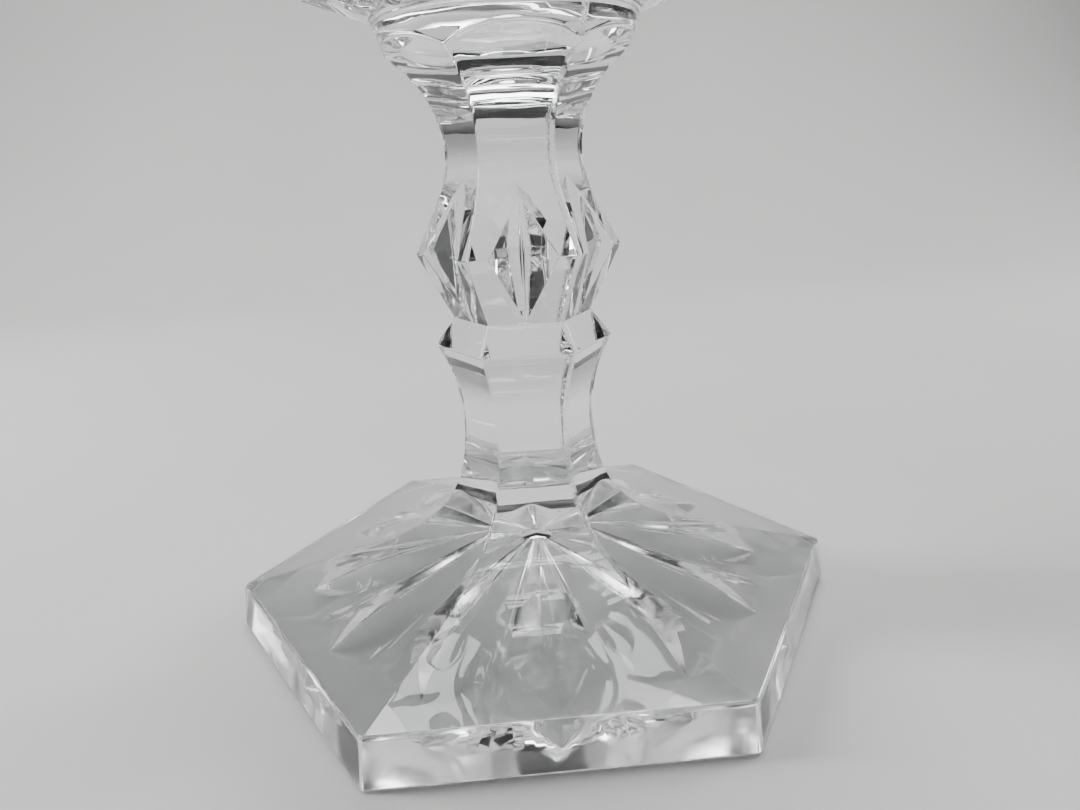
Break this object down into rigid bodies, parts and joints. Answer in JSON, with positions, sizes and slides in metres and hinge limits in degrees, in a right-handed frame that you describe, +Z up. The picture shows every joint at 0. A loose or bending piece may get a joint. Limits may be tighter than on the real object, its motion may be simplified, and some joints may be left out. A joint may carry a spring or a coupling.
{
  "type": "glass candlestick",
  "caption": "Clear pressed-glass candlestick: hexagonal star-cut foot, collared and knopped hexagonal stem, a fluted capital, and a wide drip pan with the candle's socket standing in it.",
  "frame": {"origin": "middle of the foot's underside, on the surface that the candlestick stands on", "axes": "+Z up along the stem, towards the candle; +X towards a corner of the hexagonal foot; +Y towards the middle of a side of the foot"},
  "size_m": [0.1174, 0.1018, 0.1302],
  "materials": {
    "clear_glass": "fire-polished clear pressed lead glass, very slightly grey-green, with a faint mould ripple and a rubbed rim under the foot"
  },
  "bodies": {
    "root": {"foot": "clear_glass", "lower_stem": "clear_glass", "collar": "clear_glass", "knop": "clear_glass", "neck": "clear_glass", "capital": "clear_glass", "drip_pan": "clear_glass", "candle_socket": "clear_glass"}
  },
  "joints": []
}
